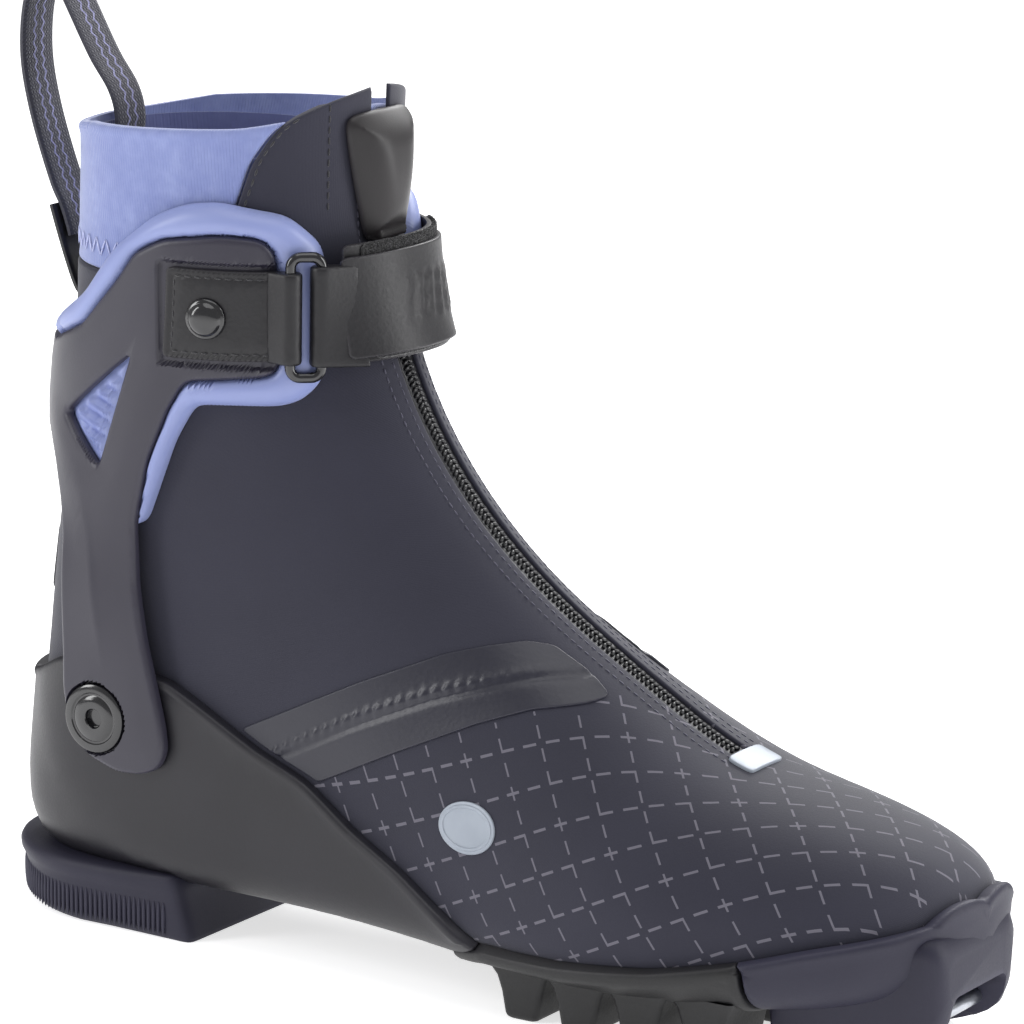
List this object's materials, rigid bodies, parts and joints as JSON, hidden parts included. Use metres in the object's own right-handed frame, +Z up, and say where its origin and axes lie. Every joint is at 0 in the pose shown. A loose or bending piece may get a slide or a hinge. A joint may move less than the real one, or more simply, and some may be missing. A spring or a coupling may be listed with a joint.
{
  "type": "cross country ski boot",
  "caption": "Skate-style cross country ski boot, right foot: soft zipped upper, stiff heel shell, hinged ankle cuff with power strap, and a sole with a steel toe bar.",
  "frame": {"origin": "on the ground, under the middle of the whole boot's bounding box", "axes": "+X from the heel to the toe, +Y to the foot's inner side, +Z up"},
  "size_m": [0.2862, 0.0948, 0.2477],
  "materials": {
    "tread_rubber": "moulded, satin",
    "outsole_rubber": "moulded, fine grain",
    "shell_plastic": "satin, with a fine dotted field low on the sides",
    "cuff_plastic": "satin",
    "softshell": "matt stretch woven, dark purple grey",
    "knit": "brushed heathered knit, periwinkle",
    "welded_film": "smooth film",
    "garage_film": "smooth rubbery",
    "leather": "fine grained synthetic leather",
    "pile": "loop pile",
    "webbing": "ribbed webbing with a pale wavy thread",
    "zip_coil": "coil and tape",
    "steel": "brushed",
    "black_gloss": "polished black",
    "silver_film": "reflective silver",
    "footbed_foam": "foam with a cloth face",
    "board": "plain"
  },
  "bodies": {
    "boot": {"heel_tread": "tread_rubber", "toe_piece": "tread_rubber", "outsole": "outsole_rubber", "heel_shell": "shell_plastic", "vamp": "softshell", "quarter_outer": "softshell", "quarter_inner": "softshell", "ankle_flex_outer": "softshell", "ankle_flex_inner": "softshell", "ankle_flex_rear": "softshell", "tongue": "softshell", "saddle_band_outer": "welded_film", "saddle_band_inner": "welded_film", "zip_lower": "zip_coil", "zip_flex": "zip_coil", "toe_bar": "steel", "hinge_nut_outer": "steel", "hinge_nut_inner": "steel", "hinge_screw_outer": "black_gloss", "hinge_screw_inner": "black_gloss", "side_patch": "silver_film", "zip_end_patch": "silver_film", "footbed": "footbed_foam", "insole_board": "board"},
    "cuff": {"shaft_outer": "softshell", "shaft_inner": "softshell", "collar": "knit", "shin_gusset": "knit", "zip_upper": "zip_coil", "zip_garage": "garage_film", "cuff_shell": "cuff_plastic", "cuff_liner": "knit", "achilles_strip": "shell_plastic", "heel_tab": "leather", "pull_loop": "webbing", "strap_tab": "leather", "tab_rivet": "black_gloss", "power_strap": "leather", "loop_pile": "pile", "strap_rivet_upper": "black_gloss", "strap_rivet_lower": "black_gloss"},
    "strap_ring": {"strap_ring": "black_gloss"},
    "strap_tail": {"strap_tail": "leather"},
    "zip_slider": {"zip_slider": "steel"},
    "zip_pull": {"zip_pull": "black_gloss"}
  },
  "joints": [
    {"name": "cuff_hinge", "type": "hinge", "parent": "boot", "child": "cuff", "pos_m": [-0.09398, 0, 0.059], "axis": [0, 1, 0], "range_deg": [-4, 14], "stiffness_Nm_per_rad": 4, "deforming": ["ankle_flex_outer", "ankle_flex_inner", "ankle_flex_rear", "zip_flex"]},
    {"name": "ring_hinge", "type": "hinge", "parent": "cuff", "child": "strap_ring", "pos_m": [-0.04002, -0.03093, 0.17], "axis": [0, 0, -1], "range_deg": [0, 35]},
    {"name": "strap_tail_hinge", "type": "hinge", "parent": "strap_ring", "child": "strap_tail", "pos_m": [-0.03392, -0.02575, 0.17], "axis": [0, 0, -1], "range_deg": [0, 100]},
    {"name": "zip_slider_travel", "type": "hinge", "parent": "cuff", "child": "zip_slider", "pos_m": [0.10402, 0, 0.209], "axis": [0, 1, 0], "range_deg": [-23, 0]},
    {"name": "zip_pull_hinge", "type": "hinge", "parent": "zip_slider", "child": "zip_pull", "pos_m": [-0.02831, 0, 0.18338], "axis": [0, 1, 0], "range_deg": [-5, 0]}
  ]
}
